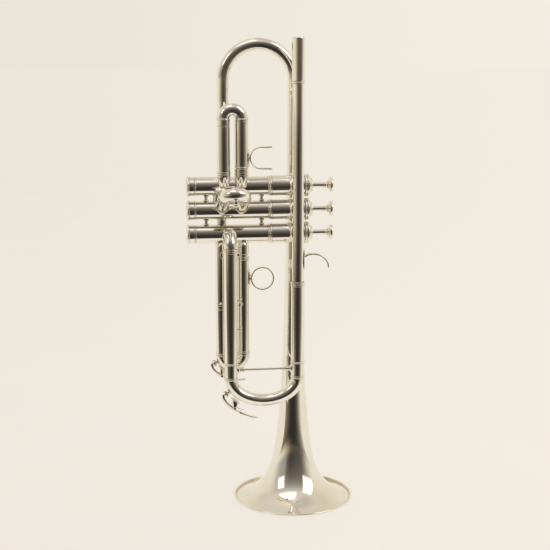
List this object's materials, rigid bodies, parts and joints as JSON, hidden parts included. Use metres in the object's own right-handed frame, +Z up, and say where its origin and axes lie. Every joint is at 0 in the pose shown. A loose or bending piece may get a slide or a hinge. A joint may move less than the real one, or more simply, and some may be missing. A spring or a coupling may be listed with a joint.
{
  "type": "trumpet",
  "caption": "Piston-valve trumpet standing on its bell, silver plated, with sprung valves, four pull slides, two water keys, thumb saddle and finger ring.",
  "frame": {"origin": "centre of the footprint on the plane that the bell rim stands on", "axes": "+Z up along the bell axis to the mouthpiece end, +X towards the finger buttons, -Y towards the leadpipe side"},
  "size_m": [0.17, 0.139, 0.4703],
  "materials": {
    "silver_plate": "mirror-polished silver plate over brass",
    "spring_steel": "drawn wire",
    "cork": "cut cork"
  },
  "bodies": {
    "trumpet_body": {"bell": "silver_plate", "bell_bow": "silver_plate", "bell_tail": "silver_plate", "mouthpiece_receiver": "silver_plate", "leadpipe": "silver_plate", "upper_tuning_sleeve": "silver_plate", "lower_tuning_sleeve": "silver_plate", "lower_tuning_elbow": "silver_plate", "valve_casing_1": "silver_plate", "bottom_cap_1": "silver_plate", "top_cap_1": "silver_plate", "valve_guide_1": "silver_plate", "valve_casing_2": "silver_plate", "bottom_cap_2": "silver_plate", "top_cap_2": "silver_plate", "valve_guide_2": "silver_plate", "valve_casing_3": "silver_plate", "bottom_cap_3": "silver_plate", "top_cap_3": "silver_plate", "valve_guide_3": "silver_plate", "valve_link_1_2": "silver_plate", "valve_link_2_3": "silver_plate", "casing_post_bottom_1_2": "silver_plate", "casing_post_bottom_2_3": "silver_plate", "casing_post_top_1_2": "silver_plate", "casing_post_top_2_3": "silver_plate", "first_slide_fixed_sleeve": "silver_plate", "first_slide_fixed_leg": "silver_plate", "second_slide_sleeve_left": "silver_plate", "second_slide_sleeve_right": "silver_plate", "third_slide_fixed_sleeve": "silver_plate", "third_slide_fixed_leg": "silver_plate", "third_slide_stop_rod": "silver_plate", "finger_hook": "silver_plate", "upper_bell_brace": "silver_plate", "lower_bell_brace": "silver_plate"},
    "valve_1": {"piston_1": "silver_plate", "finger_button_1": "silver_plate", "valve_spring_1": "spring_steel"},
    "valve_2": {"piston_2": "silver_plate", "finger_button_2": "silver_plate", "valve_spring_2": "spring_steel"},
    "valve_3": {"piston_3": "silver_plate", "finger_button_3": "silver_plate", "valve_spring_3": "spring_steel"},
    "tuning_slide": {"tuning_crook": "silver_plate", "tuning_brace": "silver_plate", "tuning_key_saddle": "silver_plate"},
    "tuning_key": {"tuning_key_lever": "silver_plate", "tuning_key_cork": "cork"},
    "first_slide": {"first_slide_crook": "silver_plate", "first_slide_moving_sleeve": "silver_plate", "thumb_saddle": "silver_plate"},
    "second_slide": {"second_slide_crook": "silver_plate"},
    "third_slide": {"third_slide_crook": "silver_plate", "third_slide_moving_sleeve": "silver_plate", "finger_ring": "silver_plate", "third_key_saddle": "silver_plate"},
    "third_key": {"third_key_lever": "silver_plate", "third_key_cork": "cork"}
  },
  "joints": [
    {"name": "valve_1_press", "type": "slide", "parent": "trumpet_body", "child": "valve_1", "axis": [-1, 0, 0], "range_m": [0, 0.0132], "stiffness_N_per_m": 150, "springref_m": -0.02, "deforming": ["valve_spring_1"]},
    {"name": "valve_2_press", "type": "slide", "parent": "trumpet_body", "child": "valve_2", "axis": [-1, 0, 0], "range_m": [0, 0.0132], "stiffness_N_per_m": 150, "springref_m": -0.02, "deforming": ["valve_spring_2"]},
    {"name": "valve_3_press", "type": "slide", "parent": "trumpet_body", "child": "valve_3", "axis": [-1, 0, 0], "range_m": [0, 0.0132], "stiffness_N_per_m": 150, "springref_m": -0.02, "deforming": ["valve_spring_3"]},
    {"name": "tuning_slide_pull", "type": "slide", "parent": "trumpet_body", "child": "tuning_slide", "axis": [0, 0, -1], "range_m": [0, 0.04]},
    {"name": "first_slide_pull", "type": "slide", "parent": "trumpet_body", "child": "first_slide", "axis": [0, 0, 1], "range_m": [0, 0.025]},
    {"name": "second_slide_pull", "type": "slide", "parent": "trumpet_body", "child": "second_slide", "axis": [0, -0.9272, 0.3746], "range_m": [0, 0.018]},
    {"name": "third_slide_pull", "type": "slide", "parent": "trumpet_body", "child": "third_slide", "axis": [0, 0, -1], "range_m": [0, 0.022]},
    {"name": "tuning_key_press", "type": "hinge", "parent": "tuning_slide", "child": "tuning_key", "pos_m": [-0.04097, -0.02927, 0.1076], "axis": [0, -1, 0], "range_deg": [0, 16], "stiffness_Nm_per_rad": 0.04, "springref_deg": -22.92},
    {"name": "third_key_press", "type": "hinge", "parent": "third_slide", "child": "third_key", "pos_m": [-0.05198, -0.01227, 0.1369], "axis": [0, -1, 0], "range_deg": [0, 16], "stiffness_Nm_per_rad": 0.04, "springref_deg": -22.92}
  ]
}
